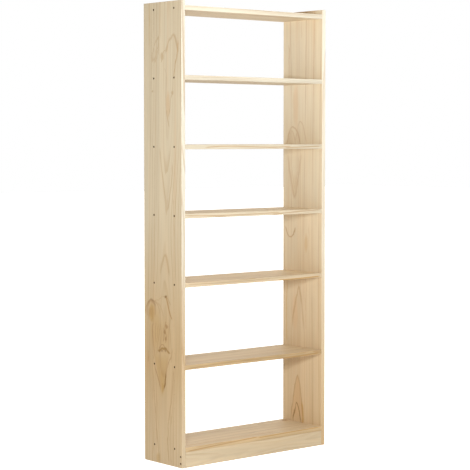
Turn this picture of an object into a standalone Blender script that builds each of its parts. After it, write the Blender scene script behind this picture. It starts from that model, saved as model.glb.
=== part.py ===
"""An open-backed pine bookcase: two drilled sides, a fixed top, a fixed bottom over a plinth, five loose shelves.

Metres, +Z up. X runs along the shelves, the front faces -Y, and the origin is on the floor at the middle
of the footprint. Every board stands on its own object; each loose shelf has its origin at its mid-thickness,
on the line that it slides up along when it is lifted off its screws.
"""

import math

import bmesh
import bpy
import numpy as np

# Driving dimensions of the case.
HEIGHT = 2.000
WIDTH = 0.840
DEPTH = 0.265
BOARD = 0.020
ARRIS = 0.0015  # how far every edge is rounded over
GAP = 0.0003  # between pieces that touch

# The ladder of holes that the shelf screws go in, counted from the bottom shelf's mid-thickness.
LEVEL_FIRST = 0.0777
LEVEL_PITCH = 0.0591
LEVEL_COUNT = 33
COLUMN_FROM_FRONT = 0.052
COLUMN_FROM_REAR = 0.071
PILOT_RADIUS = 0.00125

# Which level each shelf is on, from the top down.
FIXED_LEVELS = {"shelf_1_top": 32, "shelf_7_bottom": 0}
LOOSE_LEVELS = {"shelf_2": 27, "shelf_3": 22, "shelf_4": 17, "shelf_5": 12, "shelf_6": 6}

# Countersunk screws: long ones bite in a board's end, short ones stand out for a loose shelf to hang on.
HEAD_RADIUS = 0.0043
HEAD_DEPTH = 0.0026
HEAD_SUNK = 0.0002
SHANK_RADIUS = 0.0022
TIP_LENGTH = 0.004
TIP_RADIUS = 0.0004
LONG_SCREW = 0.050
SHORT_SCREW = 0.033
HOLE_RADIUS = SHANK_RADIUS + GAP
SLOT_LENGTH = SHORT_SCREW - BOARD + 0.002
SCREW_SIDES = 20
PILOT_SIDES = 12

PLINTH_SCREW_HEIGHTS = {"upper": 0.049, "lower": 0.019}

COLUMNS = {"front": -DEPTH / 2 + COLUMN_FROM_FRONT, "rear": DEPTH / 2 - COLUMN_FROM_REAR}
PLINTH_SCREW_Y = -DEPTH / 2 + BOARD / 2
SIDES = {"left": -1, "right": 1}
INNER_WIDTH = WIDTH - 2 * BOARD - 2 * GAP
OVERCUT = 0.002  # how far a cutter runs past the face it opens


def level_height(level):
    """The height of a hole of the ladder, which is also the mid-thickness of a shelf on that level."""
    return LEVEL_FIRST + level * LEVEL_PITCH


def make_material(name, colour, roughness, metallic=0.0):
    """A Principled material of one colour."""
    material = bpy.data.materials.new(name)
    material.use_nodes = True
    shader = material.node_tree.nodes["Principled BSDF"]
    shader.inputs["Base Color"].default_value = (*colour, 1.0)
    shader.inputs["Roughness"].default_value = roughness
    shader.inputs["Metallic"].default_value = metallic
    return material


def make_object(name, mesh, material=None):
    """An object in the scene that holds the mesh."""
    if material:
        mesh.materials.append(material)
    made = bpy.data.objects.new(name, mesh)
    bpy.context.scene.collection.objects.link(made)
    return made


def make_board(name, size, centre, material):
    """A planed board with its edges just rounded over, its origin at its centre."""
    shape = bmesh.new()
    bmesh.ops.create_cube(shape, size=1.0)
    bmesh.ops.scale(shape, vec=size, verts=shape.verts)
    mesh = bpy.data.meshes.new(name)
    shape.to_mesh(mesh)
    shape.free()
    board = make_object(name, mesh, material)
    board.location = centre
    arris = board.modifiers.new("arris", "BEVEL")
    arris.width = ARRIS
    arris.segments = 2
    return board


def add_loft(shape, rings):
    """A closed body in the bmesh from rings of points, joined in order, with both ends filled."""
    loops = [[shape.verts.new(point) for point in ring] for ring in rings]
    for near, far in zip(loops, loops[1:]):
        for i in range(len(near)):
            j = (i + 1) % len(near)
            shape.faces.new((near[i], near[j], far[j], far[i]))
    shape.faces.new(loops[0][::-1])
    shape.faces.new(loops[-1])


def turned_rings(profile, start, direction, sides):
    """Rings about a line along X: each (distance, radius) of the profile is a regular polygon of points."""
    turns = np.arange(sides) * 2 * math.pi / sides
    rings = []
    for distance, radius in profile:
        x = start[0] + direction * distance
        rings.append([(x, start[1] + radius * math.cos(a), start[2] + radius * math.sin(a)) for a in turns])
    return rings


def slot_rings(start, direction, length):
    """Two outlines of a slot with a round top, open at the shelf's underside, that runs in from its end."""
    turns = np.linspace(0, math.pi, SCREW_SIDES // 2 + 1)
    top = [(HOLE_RADIUS * math.cos(a), HOLE_RADIUS * math.sin(a)) for a in turns]
    drop = -(BOARD / 2 + OVERCUT)
    outline = [*top, (-HOLE_RADIUS, drop), (HOLE_RADIUS, drop)]
    stations = (start[0] - direction * OVERCUT, start[0] + direction * length)
    return [[(x, start[1] + y, start[2] + z) for y, z in outline] for x in stations]


def cut_away(board, name, bodies):
    """Cuts one hidden mesh that holds all the given lofts out of the board."""
    shape = bmesh.new()
    for rings in bodies:
        add_loft(shape, rings)
    bmesh.ops.recalc_face_normals(shape, faces=shape.faces)
    mesh = bpy.data.meshes.new(name)
    shape.to_mesh(mesh)
    shape.free()
    cutter = make_object(name, mesh)
    cutter.hide_render = True
    cutter.display_type = "WIRE"
    cut = board.modifiers.new("cut", "BOOLEAN")
    cut.operation = "DIFFERENCE"
    cut.object = cutter


def make_screw(name, outer_x, y, z, direction, length, material):
    """A countersunk screw that goes in along X, its origin at the middle of its head."""
    rest = length - HEAD_SUNK
    profile = [
        (0.0, HEAD_RADIUS),
        (HEAD_DEPTH, SHANK_RADIUS),
        (rest - TIP_LENGTH, SHANK_RADIUS),
        (rest, TIP_RADIUS),
    ]
    shape = bmesh.new()
    add_loft(shape, turned_rings(profile, (0.0, 0.0, 0.0), direction, SCREW_SIDES))
    bmesh.ops.recalc_face_normals(shape, faces=shape.faces)
    mesh = bpy.data.meshes.new(name)
    shape.to_mesh(mesh)
    shape.free()
    mesh.shade_smooth()
    mesh.set_sharp_from_angle(angle=math.radians(35))
    screw = make_object(name, mesh, material)
    screw.location = (outer_x + direction * HEAD_SUNK, y, z)


def screw_hole(outer_x, y, z, direction):
    """The rings of a countersunk hole through a side board, a gap wider than its screw all round."""
    head = HEAD_RADIUS + GAP
    slope = (HEAD_RADIUS - SHANK_RADIUS) / HEAD_DEPTH
    mouth = head + slope * HEAD_SUNK
    profile = [
        (-OVERCUT, mouth),
        (0.0, mouth),
        (HEAD_SUNK + HEAD_DEPTH, HOLE_RADIUS),
        (BOARD + OVERCUT, HOLE_RADIUS),
    ]
    return turned_rings(profile, (outer_x, y, z), direction, SCREW_SIDES)


def make_side(side, material):
    """A side board: used levels have countersunk holes, the other levels a small pilot hole right through."""
    sign = SIDES[side]
    outer_x = sign * WIDTH / 2
    centre = (outer_x - sign * BOARD / 2, 0.0, HEIGHT / 2)
    board = make_board(f"side_{side}", (BOARD, DEPTH, HEIGHT), centre, material)
    used = {*FIXED_LEVELS.values(), *LOOSE_LEVELS.values()}
    pilot = [(-OVERCUT, PILOT_RADIUS), (BOARD + OVERCUT, PILOT_RADIUS)]
    holes = []
    for level in range(LEVEL_COUNT):
        for y in COLUMNS.values():
            place = (outer_x, y, level_height(level))
            if level in used:
                holes.append(screw_hole(*place, -sign))
            else:
                holes.append(turned_rings(pilot, place, -sign, PILOT_SIDES))
    for z in PLINTH_SCREW_HEIGHTS.values():
        holes.append(screw_hole(outer_x, PLINTH_SCREW_Y, z, -sign))
    cut_away(board, f"side_{side}_holes", holes)


def end_holes(places):
    """Blind holes in both ends of a board for the long screws, at the given (y, z) places."""
    depth = LONG_SCREW - BOARD - GAP + 0.001
    profile = [(-OVERCUT, HOLE_RADIUS), (depth, HOLE_RADIUS)]
    holes = []
    for sign in SIDES.values():
        for y, z in places:
            holes.append(turned_rings(profile, (sign * INNER_WIDTH / 2, y, z), -sign, SCREW_SIDES))
    return holes


def make_shelf_screws(shelf, level, length, material):
    """The four screws that carry a shelf, two through each side."""
    for side, sign in SIDES.items():
        for column, y in COLUMNS.items():
            name = f"{shelf}_screw_{side}_{column}"
            make_screw(name, sign * WIDTH / 2, y, level_height(level), -sign, length, material)


def make_fixed_shelf(name, level, wood, steel):
    """A shelf screwed through both sides into its ends."""
    z = level_height(level)
    board = make_board(name, (INNER_WIDTH, DEPTH, BOARD), (0.0, 0.0, z), wood)
    cut_away(board, f"{name}_holes", end_holes([(y, z) for y in COLUMNS.values()]))
    make_shelf_screws(name, level, LONG_SCREW, steel)


def make_loose_shelf(name, level, wood, steel):
    """A shelf with slots in its ends that drop over the screws, so that it lifts straight off them."""
    z = level_height(level)
    board = make_board(name, (INNER_WIDTH, DEPTH, BOARD), (0.0, 0.0, z), wood)
    slots = []
    for sign in SIDES.values():
        for y in COLUMNS.values():
            slots.append(slot_rings((sign * INNER_WIDTH / 2, y, z), -sign, SLOT_LENGTH))
    cut_away(board, f"{name}_slots", slots)
    make_shelf_screws(name, level, SHORT_SCREW, steel)


def make_plinth(wood, steel):
    """The board that closes the front under the bottom shelf, flush with the front of the sides."""
    top = level_height(FIXED_LEVELS["shelf_7_bottom"]) - BOARD / 2 - GAP
    centre = (0.0, PLINTH_SCREW_Y, top / 2)
    board = make_board("plinth", (INNER_WIDTH, BOARD, top), centre, wood)
    places = [(PLINTH_SCREW_Y, z) for z in PLINTH_SCREW_HEIGHTS.values()]
    cut_away(board, "plinth_holes", end_holes(places))
    for side, sign in SIDES.items():
        for place, z in PLINTH_SCREW_HEIGHTS.items():
            name = f"plinth_screw_{side}_{place}"
            make_screw(name, sign * WIDTH / 2, PLINTH_SCREW_Y, z, -sign, LONG_SCREW, steel)


for leftover in list(bpy.data.objects):
    bpy.data.objects.remove(leftover, do_unlink=True)

pine_side = make_material("pine_side", (0.72, 0.53, 0.33), 0.55)
pine_shelf = make_material("pine_shelf", (0.76, 0.58, 0.38), 0.55)
screw_steel = make_material("screw_steel", (0.10, 0.08, 0.07), 0.40, metallic=0.9)

for side_name in SIDES:
    make_side(side_name, pine_side)
for shelf_name, shelf_level in FIXED_LEVELS.items():
    make_fixed_shelf(shelf_name, shelf_level, pine_shelf, screw_steel)
for shelf_name, shelf_level in LOOSE_LEVELS.items():
    make_loose_shelf(shelf_name, shelf_level, pine_shelf, screw_steel)
make_plinth(pine_shelf, screw_steel)
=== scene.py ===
"""The looks of an open-backed pine bookcase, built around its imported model."""

import copy
import math
import random

import bpy
import numpy as np
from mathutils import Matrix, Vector


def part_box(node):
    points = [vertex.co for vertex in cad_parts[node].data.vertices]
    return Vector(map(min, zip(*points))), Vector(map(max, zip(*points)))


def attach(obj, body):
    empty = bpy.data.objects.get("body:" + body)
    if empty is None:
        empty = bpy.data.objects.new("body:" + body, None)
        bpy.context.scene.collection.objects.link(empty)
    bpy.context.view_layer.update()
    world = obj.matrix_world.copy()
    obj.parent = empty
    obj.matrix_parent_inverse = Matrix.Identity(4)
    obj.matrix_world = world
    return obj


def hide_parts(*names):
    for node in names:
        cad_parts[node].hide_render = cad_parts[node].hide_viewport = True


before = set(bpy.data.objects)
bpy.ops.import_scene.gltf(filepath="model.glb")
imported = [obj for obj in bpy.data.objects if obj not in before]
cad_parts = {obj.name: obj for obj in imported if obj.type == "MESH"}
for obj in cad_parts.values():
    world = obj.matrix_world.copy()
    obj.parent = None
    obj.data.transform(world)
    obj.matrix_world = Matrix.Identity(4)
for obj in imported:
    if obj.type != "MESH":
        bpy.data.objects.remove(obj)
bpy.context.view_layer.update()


# ---------------------------------------------------------------------------------------------------------
# The two sides run the full height of the case. Each is flat-sawn pine, glued edge to edge from broad
# lamellas, planed and sanded, with a ladder of small holes drilled right through it and its edges just
# eased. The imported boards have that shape, so they are given their wood here.
# ---------------------------------------------------------------------------------------------------------

STAINS_AND_SHADING = {
    "pale": (0.860, 0.790, 0.650),
    "amber": (0.655, 0.442, 0.228),
    "pink": (0.710, 0.465, 0.255),
    "rust": (0.560, 0.320, 0.095),
    "late": (0.460, 0.252, 0.098),
    "brown": (0.260, 0.125, 0.025),
}
PINE = (0.740, 0.612, 0.430)  # the clean spring wood under all the stains
GLUE_LINE = 0.0006  # half the width of the line where two lamellas meet
EASED = 0.0030  # how far in from an edge the wood is drawn a little lighter and rougher
FRONT_SKIN = (0.0014, 0.0008)  # in from the front: where its tint, partly painted light, starts, and where it is full
NOWHERE = ((0.0, 0.0), (1.0, 0.0))  # a strength of nought all along the board


class Flow:
    """A value or a colour on its way through a material. Sums written on it add the nodes they need."""

    def __init__(self, tree, socket=None):
        self.tree = tree
        self.socket = socket

    def add(self, kind, settings=None, inputs=None, output=0):
        """A new node of this kind: its settings are made first, then its sockets are set or linked."""
        node = self.tree.nodes.new(kind)
        for key, value in (settings or {}).items():
            if key == "stops":
                fill_ramp(node.color_ramp, value)
            else:
                setattr(node, key, value)
        for key, value in (inputs or {}).items():
            if isinstance(value, Flow):
                self.tree.links.new(value.socket, node.inputs[key])
            else:
                node.inputs[key].default_value = value
        return Flow(self.tree, node.outputs[output])

    def math(self, operation, *values):
        return self.add("ShaderNodeMath", {"operation": operation}, dict(enumerate(values)))

    def __add__(self, other):
        return self.math("ADD", self, other)

    __radd__ = __add__

    def __sub__(self, other):
        return self.math("SUBTRACT", self, other)

    def __rsub__(self, other):
        return self.math("SUBTRACT", other, self)

    def __mul__(self, other):
        return self.math("MULTIPLY", self, other)

    __rmul__ = __mul__

    def __truediv__(self, other):
        return self.math("DIVIDE", self, other)

    def __pow__(self, other):
        return self.math("POWER", self, other)

    def lower(self, other):
        return self.math("MINIMUM", self, other)

    def higher(self, other):
        return self.math("MAXIMUM", self, other)

    def rise(self, low, high):
        """Nought at low, one at high, and a smooth step between them. High may be the lower of the two."""
        settings = {"interpolation_type": "SMOOTHSTEP"}
        return self.add("ShaderNodeMapRange", settings, {0: self, 1: low, 2: high, 3: 0.0, 4: 1.0})

    def tint(self, colour, other):
        """The colour turned towards the other one by this value."""
        return self.add("ShaderNodeMix", {"data_type": "RGBA"}, {0: self, 6: colour, 7: other}, output=2)

    def shade(self, amount):
        """This colour made lighter or darker by a value."""
        return self.add("ShaderNodeVectorMath", {"operation": "SCALE"}, {0: self, 3: amount})


def fill_ramp(ramp, stops):
    """Gives a ramp (position, value) stops in its alpha, with a smooth curve between them."""
    ramp.interpolation = "B_SPLINE"
    while len(ramp.elements) < len(stops):
        ramp.elements.new(1.0)
    for element, (position, value) in zip(ramp.elements, stops):
        element.position = position
        element.color = (1.0, 1.0, 1.0, value)


def new_material(name):
    """A named material, its Principled shader, and a Flow to start its nodes from."""
    material = bpy.data.materials.new(name)
    material.use_nodes = True
    tree = material.node_tree
    return material, tree.nodes["Principled BSDF"], Flow(tree)


def send(flow, shader, socket):
    """Links a flow to a socket of the shader."""
    flow.tree.links.new(flow.socket, shader.inputs[socket])


class Board:
    """A board's own measure of a point, in metres: along the grain, across the face, and in from the face."""

    def __init__(self, node, grain, start):
        low, high = (np.array(corner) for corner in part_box(node))
        order = ["XYZ".index(letter) for letter in grain]
        self.size = (high - low)[order]
        place = start.add("ShaderNodeTexCoord", output=3)
        measure = start.add("ShaderNodeVectorMath", {"operation": "SUBTRACT"}, {0: place, 1: tuple(low)})
        facing = start.add("ShaderNodeTexCoord", output=1)
        self.along, self.across, self.deep = (
            start.add("ShaderNodeSeparateXYZ", None, {0: measure}, output=axis) for axis in order
        )
        along_grain = start.add("ShaderNodeSeparateXYZ", None, {0: facing}, output=order[0])
        self.end_on = along_grain.math("ABSOLUTE", along_grain)

    def measured(self, along, across):
        """The same board, with other lengths taken for the ones along and across it."""
        other = copy.copy(self)
        other.along, other.across = along, across
        return other

    def noise(self, along, across, seed, detail=2.0):
        """Cloudy noise about nought, with this many lumps a metre along the grain and across it."""
        lumps = (self.along * along + seed, self.across * across + seed, self.deep * across)
        vector = self.along.add("ShaderNodeCombineXYZ", None, dict(enumerate(lumps)))
        inputs = {"Vector": vector, "Scale": 1.0, "Detail": detail}
        return self.along.add("ShaderNodeTexNoise", None, inputs) - 0.5

    def track(self, points):
        """A length that changes along the board, by a smooth curve near its (along, length) points."""
        lengths = [length for _, length in points]
        least, spread = min(lengths), max(max(lengths) - min(lengths), 1e-6)
        stops = [(along / self.size[0], (length - least) / spread) for along, length in points]
        way = self.along / self.size[0]
        return way.add("ShaderNodeValToRGB", {"stops": stops}, {0: way}, output=1) * spread + least

    def from_edge(self):
        """How far a point on the surface is from the nearest edge: the middle one of its three depths."""
        measures = zip((self.along, self.across, self.deep), self.size)
        a, b, c = (flow.lower(size - flow) for flow, size in measures)
        return a + b + c - a.lower(b).lower(c) - a.higher(b).higher(c)


def oval(at, size, lift=0.0, **stains_and_shading):
    """A soft filled oval, such as a knot's stain, full where the squared way out, in half sizes, is small.

    Its lift pushes the growth rings out round it in a bell. Like every mark, it is a function that gives how
    far it covers a point of the board and how far it pushes the rings out there, and the strengths of the
    stains that it leaves; on one oval these stand for painted shade.
    """
    def cover(board):
        along = board.along - at[0]
        across = board.across - at[1]
        away = (along / size[0]) ** 2.0 + (across / size[1]) ** 2.0
        swell = away.math("EXPONENT", away * -1.0) * lift if lift else 0.0
        return away.rise(1.9, 0.1), swell
    return cover, stains_and_shading


def loop(at, size, width, lean=0.0, shown=None, **stains_and_shading):
    """The outline of an oval, as a ring of the wood shows where it runs round a knot.

    It is dark where the root of the squared way from the middle, in half sizes, is near one. A pair of
    lengths in shown keeps only what lies between them along the board.
    """
    def cover(board):
        along = board.along - at[0]
        across = board.across - at[1] - along * lean
        away = ((along / size[0]) ** 2.0 + (across / size[1]) ** 2.0) ** 0.5 - 1.0
        line = away.math("ABSOLUTE", away).rise(width / min(size), 0.0)
        if shown:
            low, high = shown
            line = line * board.along.rise(low, low + 0.02) * board.along.rise(high, high - 0.02)
        return line, 0.0
    return cover, stains_and_shading


def stroke(path, width, fade=0.03, **stains_and_shading):
    """A line by the polynomial nearest to its (along, across) points, a cubic at most. Its ends fade out."""
    first, length = path[0][0], path[-1][0] - path[0][0]
    steps = [(along - first) / length for along, _ in path]
    bends = np.polyfit(steps, [across for _, across in path], min(3, len(path) - 1))

    def cover(board):
        way = board.along.math("MULTIPLY_ADD", board.along, 1.0 / length, -first / length)
        centre = way * 0.0 + bends[0]
        for bend in bends[1:]:
            centre = centre.math("MULTIPLY_ADD", centre, way, bend)
        aside = board.across - centre
        middle = way - 0.5
        ends = middle.math("ABSOLUTE", middle).rise(0.5, 0.5 - fade / length)
        return aside.math("ABSOLUTE", aside).rise(width, 0.0) * ends, 0.0
    return cover, stains_and_shading


def arch(apex, opening, half, curve=2.0, lean=0.0, width=0.0, **stains_and_shading):
    """A cathedral arch: its way from the apex, in openings, is a power of its distance aside, in halves.

    How far a point is inside is its gap to that curve along the board, divided by the root of one plus the
    slope squared. A width draws the curve as a line, and without one the arch is filled.
    """
    def cover(board):
        way = (board.along - apex[0]) / opening
        aside = board.across - apex[1] - way * lean
        spread = aside.math("ABSOLUTE", aside) / half
        slope = spread ** (curve - 1.0) * (curve * abs(opening) / half)
        inside = (way - spread ** curve) * abs(opening) / (slope * slope + 1.0) ** 0.5
        ends = way.rise(1.0, 0.65)
        if width:
            return inside.math("ABSOLUTE", inside).rise(width, 0.0) * ends, 0.0
        return inside.rise(-0.001, 0.004) * ends, 0.0
    return cover, stains_and_shading


def distance_from_pith(board, lamella):
    """How far a point is from the middle of the tree, whose line wanders beside and behind the board."""
    aside = board.across - board.track(lamella["pith"])
    behind = board.deep - board.track(lamella["depth"])
    return (aside * aside + behind * behind) ** 0.5


def pick(board, lamellas, value):
    """A value that each lamella has its own of, switched at the glue lines between them."""
    picked = value(lamellas[0])
    for lamella in lamellas[1:]:
        beyond = board.across.math("GREATER_THAN", board.across, lamella["from"])
        picked = beyond * value(lamella) + (1.0 - beyond) * picked
    return picked


def rgba(colour):
    """The colour with full alpha, as a socket takes it."""
    return (*colour, 1.0)


def lay_marks(marks, board, stains_and_shading, reach=None, within=None):
    """Raises stains and painted shade where marks cover the board, and adds the marks' swells to the reach.
    """
    for cover_of, strengths in marks:
        cover, swell = cover_of(board)
        if swell:
            reach = reach + swell
        if within:
            cover = cover * within
        for stain, strength in strengths.items():
            stains_and_shading[stain] = stains_and_shading[stain].higher(cover * strength)
    return reach


def autumn_wood(rings, seed):
    """Dark lines where the count of rings nears a whole number: each rises slowly and ends at once.

    The whole part of the count picks how strong each line is, and weak ones are more common.
    """
    ring = rings.math("FLOOR", rings)
    strength = rings.add("ShaderNodeTexWhiteNoise", {"noise_dimensions": "1D"}, {"W": ring + seed})
    part = rings - ring
    return part.rise(0.25, 0.88) * part.rise(1.0, 0.90) * (strength * strength * 0.90 + 0.10)


def glue_lines(board, lamellas, nought):
    """A thin line across the board's thickness wherever one lamella ends and the next begins."""
    seams = nought
    for lamella in lamellas[1:]:
        off = board.across - lamella["from"]
        seams = seams.higher(off.math("ABSOLUTE", off).rise(GLUE_LINE, 0.0))
    return seams


def make_pine(name, node, grain, lamellas, marks=(), amber_and_shade=NOWHERE, seed=0.0, tone=1.0, streaky=0.15,
              lines=0.95, front_marks=(), edge=("pale", NOWHERE)):
    """Pine as a solid: growth rings about a wandering pith, lapped round knots, cut by the board's faces.

    The distance from the pith, pushed out in a bell shape round each knot, is divided by the ring width to
    count the rings. Marks stain the wood on top of that, a little warped so that no line is quite true; one
    of them is painted shade. Long clouds of noise add fibres, pink and amber streaks and the difference from
    board to board.

    The amber track says how amber, and so how dark, the wood is along the board: partly its own colour,
    partly painted shade that grows towards the floor. Streaky says how much its fibres differ, and lines how
    dark its rings are. The front edge takes a tint of its own, and front marks, measured along and up that
    edge. The tint is partly wood colour and partly painted light: paler on the upper boards and high up the
    sides, darker and redder on the lower shelves.
    """
    material, shader, start = new_material(name)
    board = Board(node, grain, start)
    nought = board.along * 0.0

    wander = board.noise(1.6, 9.0, seed) * 0.012 + board.noise(14.0, 60.0, seed + 5.0) * 0.0022
    reach = pick(board, lamellas, lambda lamella: distance_from_pith(board, lamella)) + wander
    stains_and_shading = {
        "pale": board.noise(0.8, 22.0, seed + 13.0).rise(0.08, 0.26) * 0.22,
        "amber": board.track(amber_and_shade) + board.noise(1.3, 34.0, seed + 37.0) * 0.35,
        "pink": board.noise(1.1, 28.0, seed + 11.0).rise(0.05, 0.26) * 0.30,
        "rust": nought,
        "late": nought,
        "brown": nought,
    }
    warp = board.noise(16.0, 38.0, seed + 41.0, 3.0)
    warped = board.measured(board.along + warp * 0.030, board.across + warp * 0.016)
    reach = lay_marks(marks, warped, stains_and_shading, reach)

    rings = reach * pick(board, lamellas, lambda lamella: 1.0 / lamella["ring"])
    patchy = board.noise(3.0, 16.0, seed + 47.0).rise(-0.22, 0.12) * 0.7 + 0.3
    stains_and_shading["late"] = stains_and_shading["late"] * (patchy * 0.5 + 0.5)
    stains_and_shading["late"] = stains_and_shading["late"].higher(autumn_wood(rings, seed) * patchy * lines)

    fibre = board.noise(9.0, 900.0, seed + 17.0, 3.0)
    cloud = board.noise(0.9, 6.0, seed + 23.0, 1.0)
    streak = board.noise(1.4, 85.0, seed + 31.0)
    bands = board.noise(2.4, 26.0, seed + 59.0)
    flecks = board.noise(60.0, 1500.0, seed + 29.0).rise(0.18, 0.30)
    seams = glue_lines(board, lamellas, nought)
    near_edge = board.from_edge().rise(EASED, 0.0)
    end_grain = board.end_on.rise(0.6, 0.9)
    stains_and_shading["late"] = stains_and_shading["late"].higher(flecks * 0.22).higher(seams * 0.45)
    stains_and_shading["amber"] = stains_and_shading["amber"].higher(end_grain * 0.55)

    # The front edge's own tint, partly painted light: paler high up the case, darker and redder low down.
    front = board.across.rise(*FRONT_SKIN)
    edge_tint, edge_strengths = edge
    front_colour_and_painted_light = front * board.track(edge_strengths)
    if edge_tint == "pale":
        stains_and_shading["amber"] = stains_and_shading["amber"] * (1.0 - front_colour_and_painted_light)
    stains_and_shading[edge_tint] = stains_and_shading[edge_tint].higher(front_colour_and_painted_light)
    lay_marks(front_marks, board.measured(board.along, board.deep), stains_and_shading, within=front)

    colour = start.add("ShaderNodeRGB")
    colour.socket.default_value = rgba(PINE)
    for stain, strength in stains_and_shading.items():
        colour = strength.tint(colour, rgba(STAINS_AND_SHADING[stain]))
    level = pick(board, lamellas, lambda lamella: lamella["tone"]) * tone
    level = level + fibre * 0.12 + (streak + bands) * streaky + cloud * 0.16 + near_edge * 0.03 - end_grain * 0.12
    # Amber wood is drawn darker too: where the amber grows towards the floor, this is partly painted shade.
    level = level - stains_and_shading["amber"] * 0.10
    send(colour.shade(level), shader, "Base Color")

    roughness = 0.58 + fibre * 0.30 - stains_and_shading["late"] * 0.10 - stains_and_shading["brown"] * 0.15 + near_edge * 0.05
    send(roughness, shader, "Roughness")
    shader.inputs["Specular IOR Level"].default_value = 0.35
    height = fibre * 0.5 + stains_and_shading["late"] * 0.35 - seams * 0.6
    relief = {"Strength": 0.35, "Distance": 0.0004, "Height": height}
    send(start.add("ShaderNodeBump", None, relief), shader, "Normal")
    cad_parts[node].material_slots[0].material = material


LEFT_PITH = [(0.0, 0.136), (0.32, 0.130), (0.60, 0.118), (0.95, 0.120), (1.20, 0.112), (1.46, 0.097),
             (2.0, 0.085)]
LEFT_DEPTH = [(0.0, 0.066), (0.30, 0.066), (0.40, 0.060), (0.55, 0.040), (0.75, 0.060), (0.95, 0.072),
              (1.15, 0.070), (1.35, 0.056), (1.60, 0.050), (2.0, 0.054)]

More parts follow.
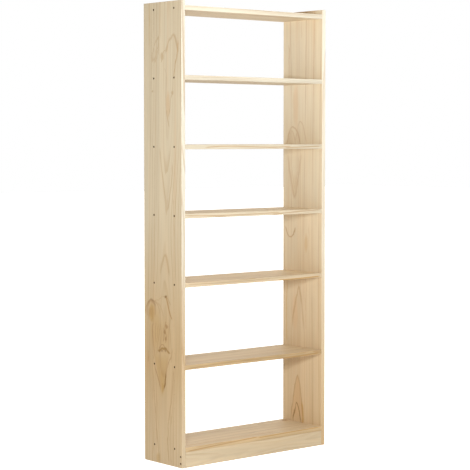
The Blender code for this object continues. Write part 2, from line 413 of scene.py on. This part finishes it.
make_pine(
    "pine_left_side", "side_left", "ZYX", seed=3.0, tone=0.97, lines=0.60,
    lamellas=[
        {"ring": 0.0078, "tone": 1.00, "pith": LEFT_PITH, "depth": LEFT_DEPTH},
        {"from": 0.154, "ring": 0.0078, "tone": 0.975, "pith": LEFT_PITH, "depth": LEFT_DEPTH},
    ],
    marks=[
        # From the floor up: long legs of autumn wood, and the tongue that they close over.
        stroke([(0.0, 0.157), (0.105, 0.174), (0.20, 0.182), (0.30, 0.196), (0.42, 0.206)], 0.0040,
               late=0.75),
        stroke([(0.03, 0.200), (0.16, 0.203), (0.34, 0.209)], 0.0030, late=0.50),
        stroke([(0.0, 0.147), (0.12, 0.162), (0.24, 0.172), (0.36, 0.186)], 0.0028, late=0.45),
        stroke([(0.0, 0.086), (0.08, 0.100), (0.19, 0.091), (0.28, 0.076), (0.44, 0.060)], 0.0045, late=0.75),
        stroke([(0.0, 0.072), (0.12, 0.083), (0.25, 0.068), (0.38, 0.062)], 0.0030, late=0.50),
        stroke([(0.28, 0.052), (0.43, 0.050), (0.52, 0.034)], 0.0032, late=0.50),
        oval((0.022, 0.166), (0.026, 0.012), rust=0.45),
        arch((0.316, 0.137), 0.185, 0.056, curve=1.7, lean=0.006, rust=0.40),
        oval((0.365, 0.136), (0.055, 0.018), rust=0.62),
        oval((0.335, 0.135), (0.024, 0.010), rust=0.85),
        stroke([(0.316, 0.150), (0.35, 0.158), (0.39, 0.176), (0.44, 0.198)], 0.0055, late=0.95),
        stroke([(0.314, 0.127), (0.355, 0.119), (0.41, 0.111)], 0.0080, brown=0.85, rust=1.0),
        stroke([(0.385, 0.113), (0.44, 0.092), (0.52, 0.056)], 0.0048, late=0.85),
        oval((0.437, 0.238), (0.042, 0.012), pink=0.80, rust=0.25),
        stroke([(0.43, 0.241), (0.46, 0.237), (0.49, 0.239)], 0.0045, fade=0.01, late=0.75),
        # The crescent, the knot above it, and the wood that is turned about between them.
        arch((0.504, 0.126), -0.017, 0.040, curve=2.6, width=0.0080, brown=0.55, rust=0.8),
        oval((0.499, 0.114), (0.007, 0.008), brown=0.60),
        oval((0.495, 0.140), (0.006, 0.008), brown=0.50),
        arch((0.519, 0.136), -0.020, 0.024, width=0.0045, late=0.80),
        oval((0.560, 0.125), (0.070, 0.045), rust=0.24, lift=0.010),
        stroke([(0.520, 0.118), (0.550, 0.108), (0.585, 0.116), (0.625, 0.104)], 0.0048, fade=0.012,
               late=0.85),
        stroke([(0.528, 0.132), (0.560, 0.124), (0.600, 0.128)], 0.0045, fade=0.012, late=0.80, brown=0.15),
        oval((0.548, 0.112), (0.011, 0.006), late=0.85, brown=0.30),
        oval((0.578, 0.121), (0.010, 0.007), late=0.85, brown=0.30),
        oval((0.603, 0.107), (0.008, 0.009), late=0.75, brown=0.15),
        oval((0.580, 0.183), (0.085, 0.034), rust=0.34),
        stroke([(0.520, 0.178), (0.565, 0.186), (0.625, 0.180)], 0.0045, fade=0.015, late=0.75),
        stroke([(0.535, 0.166), (0.575, 0.172), (0.615, 0.164)], 0.0040, fade=0.015, late=0.65),
        oval((0.655, 0.210), (0.040, 0.022), rust=0.72, lift=0.022),
        oval((0.655, 0.212), (0.020, 0.010), late=0.28),
        loop((0.660, 0.214), (0.046, 0.030), 0.0070, late=0.65, shown=(0.630, 0.80)),
        loop((0.668, 0.214), (0.044, 0.032), 0.0060, brown=0.45, shown=(0.676, 0.80)),
        loop((0.650, 0.205), (0.060, 0.050), 0.0055, late=0.60, shown=(0.64, 0.80)),
        loop((0.640, 0.198), (0.068, 0.066), 0.0050, late=0.50, shown=(0.62, 0.80)),
        stroke([(0.43, 0.203), (0.50, 0.198), (0.58, 0.206), (0.63, 0.196)], 0.0050, late=0.80),
        stroke([(0.46, 0.176), (0.50, 0.172), (0.56, 0.160), (0.63, 0.150)], 0.0045, late=0.65),
        stroke([(0.44, 0.078), (0.52, 0.075), (0.58, 0.082), (0.66, 0.072)], 0.0040, late=0.55),
        oval((0.731, 0.112), (0.007, 0.009), brown=0.80),
        stroke([(0.63, 0.064), (0.66, 0.083), (0.69, 0.094), (0.735, 0.112)], 0.0065, fade=0.015,
               late=0.80, rust=0.9),
        arch((0.736, 0.118), -0.045, 0.080, curve=1.2, lean=0.035, width=0.0030, late=0.60),
        # The soft flame above them, and the two narrow arrowheads further up.
        arch((0.912, 0.117), -0.105, 0.032, curve=1.8, width=0.0120, late=0.50),
        stroke([(1.080, 0.106), (1.15, 0.117), (1.22, 0.123), (1.28, 0.140), (1.38, 0.150)], 0.0080,
               late=0.48),
        stroke([(1.080, 0.103), (1.15, 0.086), (1.235, 0.071), (1.32, 0.064)], 0.0075, late=0.42),
        arch((1.082, 0.105), 0.090, 0.014, late=0.28),
        stroke([(0.98, 0.053), (1.07, 0.055), (1.17, 0.052)], 0.0030, late=0.35),
        stroke([(1.455, 0.082), (1.49, 0.094), (1.54, 0.101)], 0.0055, fade=0.012, late=0.60),
        stroke([(1.49, 0.092), (1.56, 0.078), (1.62, 0.064), (1.68, 0.059)], 0.0045, late=0.48),
        stroke([(1.53, 0.101), (1.64, 0.104), (1.70, 0.109), (1.735, 0.134)], 0.0040, late=0.42),
        oval((1.560, 0.094), (0.055, 0.014), pink=0.50, late=0.12),
        oval((1.612, 0.064), (0.010, 0.008), late=0.60),
        # The round-headed arch near the top, with a small dark place where its rear leg turns away.
        arch((1.854, 0.059), -0.085, 0.046, lean=0.010, width=0.0110, late=0.50),
        stroke([(1.66, 0.056), (1.72, 0.045), (1.785, 0.030), (1.84, 0.021)], 0.0060, late=0.55, pink=0.5),
        stroke([(1.735, 0.138), (1.765, 0.132), (1.80, 0.110)], 0.0050, fade=0.01, late=0.55),
        oval((1.766, 0.134), (0.016, 0.012), late=0.48, lift=0.008),
        loop((1.800, 0.180), (0.050, 0.016), 0.0055, lean=-0.35, late=0.40),
        loop((1.785, 0.170), (0.036, 0.009), 0.0045, lean=-0.35, late=0.36),
        oval((1.617, 0.202), (0.006, 0.005), late=0.60),
        stroke([(1.84, 0.147), (1.92, 0.149), (2.05, 0.146)], 0.0050, late=0.38),
        stroke([(1.86, 0.197), (1.93, 0.194), (2.05, 0.196)], 0.0060, late=0.32),
        stroke([(1.80, 0.226), (1.90, 0.223), (2.05, 0.224)], 0.0045, rust=0.35),
    ],
    # More amber and darker towards the floor, front edge paler towards the top: partly wood colour, partly
    # painted light, shade low down and a highlight high up.
    amber_and_shade=((0.0, 0.65), (0.25, 0.78), (0.48, 1.16), (0.80, 0.55), (1.10, 0.22), (1.70, 0.12), (2.0, 0.22)),
    edge=("pale", ((0.0, 0.26), (0.5, 0.16), (0.9, 0.74), (2.0, 0.90))),
)
make_pine(
    "pine_right_side", "side_right", "ZYX", seed=8.0, tone=1.13,
    lamellas=[
        {"ring": 0.0075, "tone": 1.00, "pith": [(0.0, -0.210), (1.0, -0.190), (2.0, -0.215)],
         "depth": [(0.0, 0.030), (2.0, 0.045)]},
        {"from": 0.131, "ring": 0.0080, "tone": 0.985, "pith": [(0.0, 0.345), (0.9, 0.330), (2.0, 0.350)],
         "depth": [(0.0, 0.055), (1.0, 0.050), (2.0, 0.060)]},
    ],
    marks=[
        # Two arches one inside the other over the bottom shelf, and the soft one over the shelf above.
        arch((0.304, 0.164), -0.240, 0.046, curve=1.6, lean=0.004, width=0.0060, late=0.75),
        arch((0.172, 0.167), -0.100, 0.030, curve=1.6, width=0.0050, brown=0.60, late=0.9),
        arch((0.304, 0.164), -0.240, 0.046, curve=1.6, lean=0.004, pink=0.6, rust=0.22),
        stroke([(0.07, 0.132), (0.135, 0.127), (0.195, 0.138)], 0.0090, rust=1.0, late=0.3),
        arch((0.722, 0.155), -0.220, 0.044, curve=1.5, lean=0.009, width=0.0095, late=0.55),
        oval((0.600, 0.183), (0.080, 0.018), pink=0.60),
        stroke([(0.45, 0.238), (0.60, 0.240), (0.76, 0.237)], 0.0070, rust=0.45),
        stroke([(0.52, 0.110), (0.65, 0.107), (0.80, 0.108)], 0.0030, late=0.55),
        # A cup line and a stain at half height, then an arrowhead with two round-headed arches over it.
        arch((0.957, 0.214), 0.050, 0.034, curve=3.0, width=0.0060, late=0.75),
        oval((0.930, 0.107), (0.040, 0.012), rust=0.35),
        stroke([(0.79, 0.090), (0.90, 0.091), (1.03, 0.090)], 0.0035, late=0.35),
        arch((1.145, 0.187), 0.230, 0.052, curve=1.4, width=0.0120, late=0.42),
        arch((1.185, 0.186), 0.170, 0.030, curve=1.4, width=0.0060, late=0.30),
        oval((1.195, 0.183), (0.050, 0.022), rust=0.12, late=0.12),
        arch((1.492, 0.146), -0.110, 0.040, width=0.0065, late=0.44),
        arch((1.464, 0.195), -0.090, 0.050, curve=2.6, width=0.0085, late=0.58),
        arch((1.447, 0.205), -0.070, 0.026, width=0.0060, late=0.45),
        oval((1.410, 0.215), (0.050, 0.022), late=0.28),
        stroke([(1.66, 0.226), (1.75, 0.224), (1.86, 0.226)], 0.0045, late=0.48),
        stroke([(1.86, 0.140), (1.92, 0.141), (2.0, 0.140)], 0.0040, late=0.38),
        stroke([(1.68, 0.110), (1.76, 0.112), (1.86, 0.110)], 0.0030, late=0.30),
        oval((1.570, 0.180), (0.090, 0.018), pink=0.34, late=0.12),
        # Painted shade: the band of the side above the top shelf, drawn dark where it lies in shadow.
        oval((2.004, 0.170), (0.018, 0.120), late=0.55, brown=0.34),
        oval((1.720, 0.160), (0.220, 0.120), pale=0.24),
    ],
    # As on the left: amber and darker towards the floor, front edge paler towards the top, partly wood colour
    # and partly painted shade and highlight.
    amber_and_shade=((0.0, 0.78), (0.35, 0.66), (0.75, 0.34), (1.10, 0.04), (1.40, -0.16), (2.0, -0.18)),
    edge=("pale", ((0.0, 0.0), (0.5, 0.0), (1.0, 0.8), (2.0, 1.0))),
)


# ---------------------------------------------------------------------------------------------------------
# The top shelf, the bottom shelf and the plinth tie the two sides together. They are narrower lamellas of
# the same pine with the grain from side to side, and long screws through the sides bite in their ends.
# ---------------------------------------------------------------------------------------------------------

SHELF_LENGTH = 0.8


def shelf_lamellas(widths, seed):
    """Lamellas of a shelf from front to back, each from its own tree: pith, rings and tone are by chance."""
    chance = random.Random(seed)
    lamellas, edge = [], 0.0
    for width in widths:
        middle = edge + width * chance.uniform(0.2, 0.8)
        behind = chance.choice((-1.0, 1.0)) * chance.uniform(0.030, 0.075)
        slope = chance.uniform(-0.025, 0.025)
        lamellas.append({
            "from": edge,
            "ring": chance.uniform(0.0034, 0.0058),
            "tone": chance.uniform(0.965, 1.03),
            "pith": [(0.0, middle), (0.4, middle + chance.uniform(-0.03, 0.03)), (SHELF_LENGTH, middle)],
            "depth": [(0.0, behind), (0.35, behind + slope), (SHELF_LENGTH, behind - slope)],
        })
        edge += width
    return lamellas


# The top shelf's pale front, the bottom shelf's rust front and amber, and the plinth's amber are partly wood
# colour and partly painted light that fades towards the floor.
make_pine(
    "pine_shelf_1", "shelf_1_top", "XYZ", shelf_lamellas((0.085, 0.10, 0.08), 101), seed=21.0, tone=1.06,
    streaky=0.25, edge=("pale", ((0.0, 0.6), (SHELF_LENGTH, 0.9))),
)
make_pine(
    "pine_shelf_7", "shelf_7_bottom", "XYZ", shelf_lamellas((0.07, 0.11, 0.085), 107), seed=27.0,
    amber_and_shade=((0.0, 0.36), (SHELF_LENGTH, 0.26)), streaky=0.36,
    edge=("rust", ((0.0, 0.42), (0.4, 0.40), (SHELF_LENGTH, 0.50))),
    marks=[
        stroke([(0.0, 0.150), (0.3, 0.140), (0.62, 0.165)], 0.0090, late=0.42),
        stroke([(0.10, 0.085), (0.45, 0.100), (0.80, 0.080)], 0.0080, late=0.38),
        stroke([(0.0, 0.030), (0.25, 0.045), (0.55, 0.035)], 0.0080, rust=0.50),
        stroke([(0.30, 0.205), (0.55, 0.195), (0.80, 0.215)], 0.0100, late=0.36),
    ],
    front_marks=[
        stroke([(0.0, 0.003), (0.18, 0.010), (0.42, 0.018)], 0.0042, late=0.95),
        stroke([(0.05, 0.014), (0.16, 0.017), (0.28, 0.016)], 0.0030, late=0.60),
        stroke([(0.40, 0.013), (0.60, 0.016), (0.80, 0.018)], 0.0040, rust=1.0, late=0.60),
    ],
)
make_pine(
    "pine_plinth", "plinth", "XZY", seed=29.0,
    lamellas=[{"ring": 0.0042, "tone": 1.02, "pith": [(0.0, 0.030), (SHELF_LENGTH, 0.045)],
               "depth": [(0.0, 0.060), (0.5, 0.085), (SHELF_LENGTH, 0.070)]}],
    amber_and_shade=((0.0, 0.30), (SHELF_LENGTH, 0.40)), tone=0.99, streaky=0.24,
)


# ---------------------------------------------------------------------------------------------------------
# The five loose shelves are the same glued pine. Slots in their ends hang on the screws, so each lifts
# straight up and off, and every one came from a different plank.
# ---------------------------------------------------------------------------------------------------------

STREAKS = [
    stroke([(0.0, 0.060), (0.35, 0.075), (0.70, 0.055)], 0.0080, late=0.40),
    stroke([(0.20, 0.150), (0.50, 0.140), (0.80, 0.160)], 0.0080, late=0.38),
    stroke([(0.0, 0.215), (0.25, 0.200), (0.50, 0.210)], 0.0090, rust=0.40),
]
# Down the case the shelves grow more amber and their fronts go from pale to rust: partly wood colour, partly
# painted light that fades towards the floor.
LOOSE_SHELVES = {
    "shelf_2": {
        "widths": (0.09, 0.095, 0.08), "seed": 102, "tone": 0.93, "amber_and_shade": 0.0, "edge": ("pale", 0.70),
        "marks": [],
        "front_marks": [],
    },
    "shelf_3": {
        "widths": (0.08, 0.085, 0.10), "seed": 103, "tone": 0.93, "amber_and_shade": 0.05, "edge": ("pale", 0.35),
        "marks": [],
        "front_marks": [
            stroke([(0.10, 0.006), (0.30, 0.012), (0.46, 0.008), (0.62, 0.013)], 0.0038, late=0.50, pink=0.5),
            stroke([(0.56, 0.004), (0.68, 0.008), (0.80, 0.012)], 0.0045, amber=0.7, late=0.25),
        ],
    },
    "shelf_4": {
        "widths": (0.10, 0.09, 0.075), "seed": 104, "tone": 0.97, "amber_and_shade": 0.10, "edge": ("pale", 0.20),
        "marks": [],
        "front_marks": [
            stroke([(0.0, 0.012), (0.24, 0.008), (0.55, 0.012)], 0.0042, late=0.50, pink=0.4),
            oval((0.19, 0.004), (0.030, 0.004), late=0.40),
            stroke([(0.48, 0.004), (0.62, 0.010), (0.80, 0.017)], 0.0038, late=0.70),
        ],
    },
    "shelf_5": {
        "widths": (0.075, 0.10, 0.09), "seed": 105, "tone": 1.03, "amber_and_shade": 0.20, "edge": ("pink", 0.15),
        "marks": STREAKS,
        "front_marks": [
            stroke([(0.52, 0.002), (0.66, 0.003), (0.80, 0.007)], 0.0050, rust=0.9, late=0.5),
            stroke([(0.0, 0.014), (0.25, 0.010), (0.50, 0.013)], 0.0035, late=0.50),
        ],
    },
    "shelf_6": {
        "widths": (0.095, 0.08, 0.09), "seed": 106, "tone": 0.955, "amber_and_shade": 0.28, "edge": ("rust", 0.52),
        "marks": STREAKS,
        "front_marks": [
            stroke([(0.50, 0.002), (0.66, 0.004), (0.80, 0.009)], 0.0060, rust=1.0, late=0.6),
            stroke([(0.0, 0.005), (0.20, 0.012), (0.45, 0.009)], 0.0040, late=0.60),
            stroke([(0.30, 0.016), (0.50, 0.014), (0.72, 0.017)], 0.0030, late=0.50),
        ],
    },
}


def steady(strength):
    """The same strength all along a shelf."""
    return (0.0, strength), (SHELF_LENGTH, strength)


for shelf, wood in LOOSE_SHELVES.items():
    shelf_edge_tint, shelf_edge_strength = wood["edge"]
    make_pine(
        f"pine_{shelf}", shelf, "XYZ", shelf_lamellas(wood["widths"], wood["seed"]), seed=wood["seed"] - 80.0,
        tone=wood["tone"], amber_and_shade=steady(wood["amber_and_shade"]), streaky=0.34, marks=wood["marks"],
        edge=(shelf_edge_tint, steady(shelf_edge_strength)), front_marks=wood["front_marks"],
    )


# ---------------------------------------------------------------------------------------------------------
# Countersunk wood screws of dark bronzed steel, with a cross recess, hold everything. Those of the fixed
# boards are threaded to the point. Those of the loose shelves end in a round pin for a slot to sit on.
# ---------------------------------------------------------------------------------------------------------

TURN = 32  # points round a screw
HEAD_RADIUS = 0.0043
HEAD_DEPTH = 0.0026
RIM = 0.0003  # the straight edge round the head
SHANK_RADIUS = 0.0022
ROOT_RADIUS = 0.0016  # between the thread's ridges
THREAD_PITCH = 0.0020
RIDGE = 0.28  # half the width of a ridge at its foot, in pitches
PIN_START = 0.0195
PIN_ROUND = 0.0016
POINT_LENGTH = 0.004
LONG_SCREW = 0.040  # a screw of this length or more has a point, and a shorter one a pin
RECESS_DEPTH = 0.0019
RECESS_SLOPE = 0.45  # how fast the floor of the recess rises outwards
ARM_HALF = 0.00072  # half the width of an arm of the recess, at the head's face
ARM_WALL = 0.00022  # how far its side walls slope in
ARM_LENGTH = 0.0025
ARM_END = 0.0004  # how far its end wall slopes in


def make_mesh(name, rings, start, end):
    """A closed mesh from rings of points of one length, joined in order, with a fan at either end."""
    count, turn = rings.shape[:2]
    points = np.concatenate([rings.reshape(-1, 3), [start, end]])
    along, round_it = np.meshgrid(np.arange(count - 1), np.arange(turn), indexing="ij")
    beside = (round_it + 1) % turn
    near, far = along * turn, (along + 1) * turn
    quads = np.stack([near + round_it, near + beside, far + beside, far + round_it], -1).reshape(-1, 4)
    turns = np.arange(turn)
    following = (turns + 1) % turn
    last = (count - 1) * turn
    first_fan = np.stack([following, turns, np.full(turn, count * turn)], -1)
    last_fan = np.stack([last + turns, last + following, np.full(turn, count * turn + 1)], -1)
    mesh = bpy.data.meshes.new(name)
    mesh.from_pydata(points.tolist(), [], quads.tolist() + first_fan.tolist() + last_fan.tolist())
    mesh.shade_smooth()
    mesh.set_sharp_from_angle(angle=math.radians(40))
    return mesh


def recess_depth(radius, angle):
    """A cross recess: deepest on the axis and shallower outwards, in two crossed slots with sloping walls."""
    from_arm = radius * np.minimum(abs(np.sin(angle)), abs(np.cos(angle)))
    along_arm = radius * np.maximum(abs(np.sin(angle)), abs(np.cos(angle)))
    between_walls = np.clip((ARM_HALF - from_arm) / ARM_WALL, 0.0, 1.0)
    before_end = np.clip((ARM_LENGTH - along_arm) / ARM_END, 0.0, 1.0)
    return between_walls * before_end * (RECESS_DEPTH - RECESS_SLOPE * along_arm)


def turned(distance, radius, angle):
    """Points at a distance in from the head, a radius away from the screw's axis, at an angle round it."""
    return np.stack(np.broadcast_arrays(distance, radius * np.cos(angle), radius * np.sin(angle)), -1)


def screw_rings(length):
    """The screw's surface, in its own measure: x runs in from the head, and each ring goes once round it.

    The head's rings grow outwards and dip by the cross recess. Then a cone runs down to the shank, whose
    radius swells in a ridge wherever a helix of the thread's pitch passes, up to a round pin or a point.
    """
    angle = np.linspace(0.0, 2.0 * np.pi, TURN, endpoint=False)[None, :]
    spread = np.linspace(0.0002, HEAD_RADIUS, 14)[:, None]
    head = turned(recess_depth(spread, angle), spread, angle)
    under = np.linspace(RIM, HEAD_DEPTH, 5)[:, None]
    cone = HEAD_RADIUS + (SHANK_RADIUS - HEAD_RADIUS) * (under - RIM) / (HEAD_DEPTH - RIM)
    neck = turned(under, cone, angle)
    down = np.arange(HEAD_DEPTH + 0.0004, length, THREAD_PITCH / 5.0)[:, None]
    phase = (down / THREAD_PITCH - angle / (2.0 * np.pi)) % 1.0
    ridge = np.clip(1.0 - abs(phase - 0.5) / RIDGE, 0.0, 1.0)
    radius = ROOT_RADIUS + (SHANK_RADIUS - ROOT_RADIUS) * ridge
    if length < LONG_SCREW:
        bend = np.clip((down - length + PIN_ROUND) / PIN_ROUND, 0.0, 1.0)
        rounding = np.sqrt(np.clip(1.0 - bend ** 2, 0.04, 1.0))
        radius = np.where(down > PIN_START, SHANK_RADIUS * rounding, radius)
    else:
        radius = radius * np.clip((length - down) / POINT_LENGTH, 0.12, 1.0)
    return np.concatenate([head, neck, turned(down, radius, angle)])


BRONZE_SKIN = (0.078, 0.042, 0.014)
RUBBED_STEEL = (0.180, 0.110, 0.050)


def make_screw_steel():
    """Steel with a dark bronze skin, rubbed a little brighter in patches."""
    material, shader, start = new_material("screw_steel")
    place = start.add("ShaderNodeTexCoord", output=3)
    patches = start.add("ShaderNodeTexNoise", None, {"Vector": place, "Scale": 900.0, "Detail": 3.0})
    rubbed = patches.rise(0.50, 0.72)
    send(rubbed.tint(rgba(BRONZE_SKIN), rgba(RUBBED_STEEL)), shader, "Base Color")
    send(0.52 - rubbed * 0.18, shader, "Roughness")
    relief = {"Strength": 0.2, "Distance": 0.0001, "Height": patches}
    send(start.add("ShaderNodeBump", None, relief), shader, "Normal")
    shader.inputs["Metallic"].default_value = 0.80
    return material


def make_screw(node, twist):
    """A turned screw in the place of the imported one, with its recess twisted by an angle.

    The rings turn about the screw's axis and run in from the head's middle. A screw that goes in towards
    +X has each ring run the other way round, so that its faces point outwards as well.
    """
    low, high = (np.array(corner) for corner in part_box(node))
    length = high[0] - low[0]
    inward = 1.0 if "_left_" in node else -1.0
    head_x = low[0] if inward > 0 else high[0]
    middle = np.array([head_x, (low[1] + high[1]) / 2, (low[2] + high[2]) / 2])
    rings = screw_rings(length)
    x, y, z = rings[..., 0], rings[..., 1], rings[..., 2]
    spun = middle + np.stack([
        x * inward,
        y * math.cos(twist) - z * math.sin(twist),
        y * math.sin(twist) + z * math.cos(twist),
    ], -1)
    if inward > 0:
        spun = spun[:, ::-1]
    start, end = (middle + (inward * distance, 0.0, 0.0) for distance in (x[0, 0], length))
    mesh = make_mesh(f"{node}_turned", spun, start, end)
    mesh.materials.append(screw_steel)
    screw = bpy.data.objects.new(f"{node}_turned", mesh)
    bpy.context.scene.collection.objects.link(screw)
    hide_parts(node)
    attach(screw, "case")


screw_steel = make_screw_steel()
screw_turns = random.Random(41)
for screw_node in sorted(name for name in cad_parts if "_screw_" in name):
    make_screw(screw_node, screw_turns.uniform(0.0, math.pi / 2))


# ---------------------------------------------------------------------------------------------------------
# The studio: a pale floor that runs off into white, a bright backdrop behind the case, a pale ceiling, a
# soft box at chest height to the left of the camera, and a weak panel high up in front.
# ---------------------------------------------------------------------------------------------------------

FLOOR_HALF = 30.0
FLOOR_DROP = 0.0002  # the floor lies a hair under the boards that stand on it
FLOOR_GREY = (0.70, 0.70, 0.69)
WHITE = (1.0, 1.0, 1.0)
BLACK = (0.0, 0.0, 0.0)
GLOW = (0.336, 0.347, 0.364)  # what the floor adds to the light it sends back up
BACKDROP = (1.21, 1.19, 1.13)
CEILING = (0.89, 0.845, 0.76)
TO_BACKDROP = (0.65, 0.76, 0.0)  # the level way from the camera, past the case
UP = (0.0, 0.0, 1.0)
SOFT_BOX = {"at": (-2.9, -2.95, 1.50), "aim": (0.0, -0.13, 1.2), "size": 0.5, "watts": 109.0,
            "colour": (0.81, 0.91, 1.0)}
PANEL = {"at": (-0.3, -1.9, 2.9), "aim": (0.0, 0.0, 1.2), "size": 1.2, "watts": 14.5,
         "colour": (1.0, 0.95, 0.86)}
CAMERA = {"at": (-4.638, -5.4585, 1.4076), "down": 2.731, "turned": -40.290, "lens": 122.4, "shift": -0.04}


def white_to_camera(flow, colour):
    """The colour for every ray but the camera's own, which sees white."""
    return flow.add("ShaderNodeLightPath").tint(colour, rgba(WHITE))


corners = [(x * FLOOR_HALF, y * FLOOR_HALF, -FLOOR_DROP) for x, y in ((-1, -1), (1, -1), (1, 1), (-1, 1))]
floor_mesh = bpy.data.meshes.new("studio_floor")
floor_mesh.from_pydata(corners, [], [(0, 1, 2, 3)])
floor = bpy.data.objects.new("studio_floor", floor_mesh)
bpy.context.scene.collection.objects.link(floor)
floor_paint, floor_shader, glow = new_material("floor_paint")
floor_shader.inputs["Base Color"].default_value = rgba(FLOOR_GREY)
floor_shader.inputs["Roughness"].default_value = 0.9
floor_shader.inputs["Emission Strength"].default_value = 1.0
send(white_to_camera(glow, rgba(GLOW)), floor_shader, "Emission Color")
floor_mesh.materials.append(floor_paint)

surround = bpy.data.worlds.new("studio")
surround.use_nodes = True
sky = Flow(surround.node_tree)
looking = sky.add("ShaderNodeTexCoord")
behind, above = (
    sky.add("ShaderNodeVectorMath", {"operation": "DOT_PRODUCT"}, {0: looking, 1: way}, output=1)
    for way in (TO_BACKDROP, UP)
)
backdrop = behind.rise(0.60, 0.88).tint(rgba(BLACK), rgba(BACKDROP))
ceiling = above.rise(0.30, 0.80).tint(rgba(BLACK), rgba(CEILING))
both = sky.add("ShaderNodeVectorMath", {"operation": "ADD"}, {0: backdrop, 1: ceiling})
send(white_to_camera(sky, both), surround.node_tree.nodes["Background"], "Color")
bpy.context.scene.world = surround


def add_light(name, light):
    """A square area light that stands at one place and points at another."""
    data = bpy.data.lights.new(name, "AREA")
    data.size, data.energy, data.color = light["size"], light["watts"], light["colour"]
    lamp = bpy.data.objects.new(name, data)
    bpy.context.scene.collection.objects.link(lamp)
    lamp.location = light["at"]
    lamp.rotation_euler = (Vector(light["aim"]) - Vector(light["at"])).to_track_quat("-Z", "Y").to_euler()


add_light("soft_box", SOFT_BOX)
add_light("panel", PANEL)

camera_data = bpy.data.cameras.new("camera")
camera_data.lens = CAMERA["lens"]
camera_data.shift_y = CAMERA["shift"]
camera = bpy.data.objects.new("camera", camera_data)
bpy.context.scene.collection.objects.link(camera)
camera.location = CAMERA["at"]
camera.rotation_euler = (math.radians(90.0 - CAMERA["down"]), 0.0, math.radians(CAMERA["turned"]))
bpy.context.scene.camera = camera
bpy.context.scene.view_settings.view_transform = "Standard"
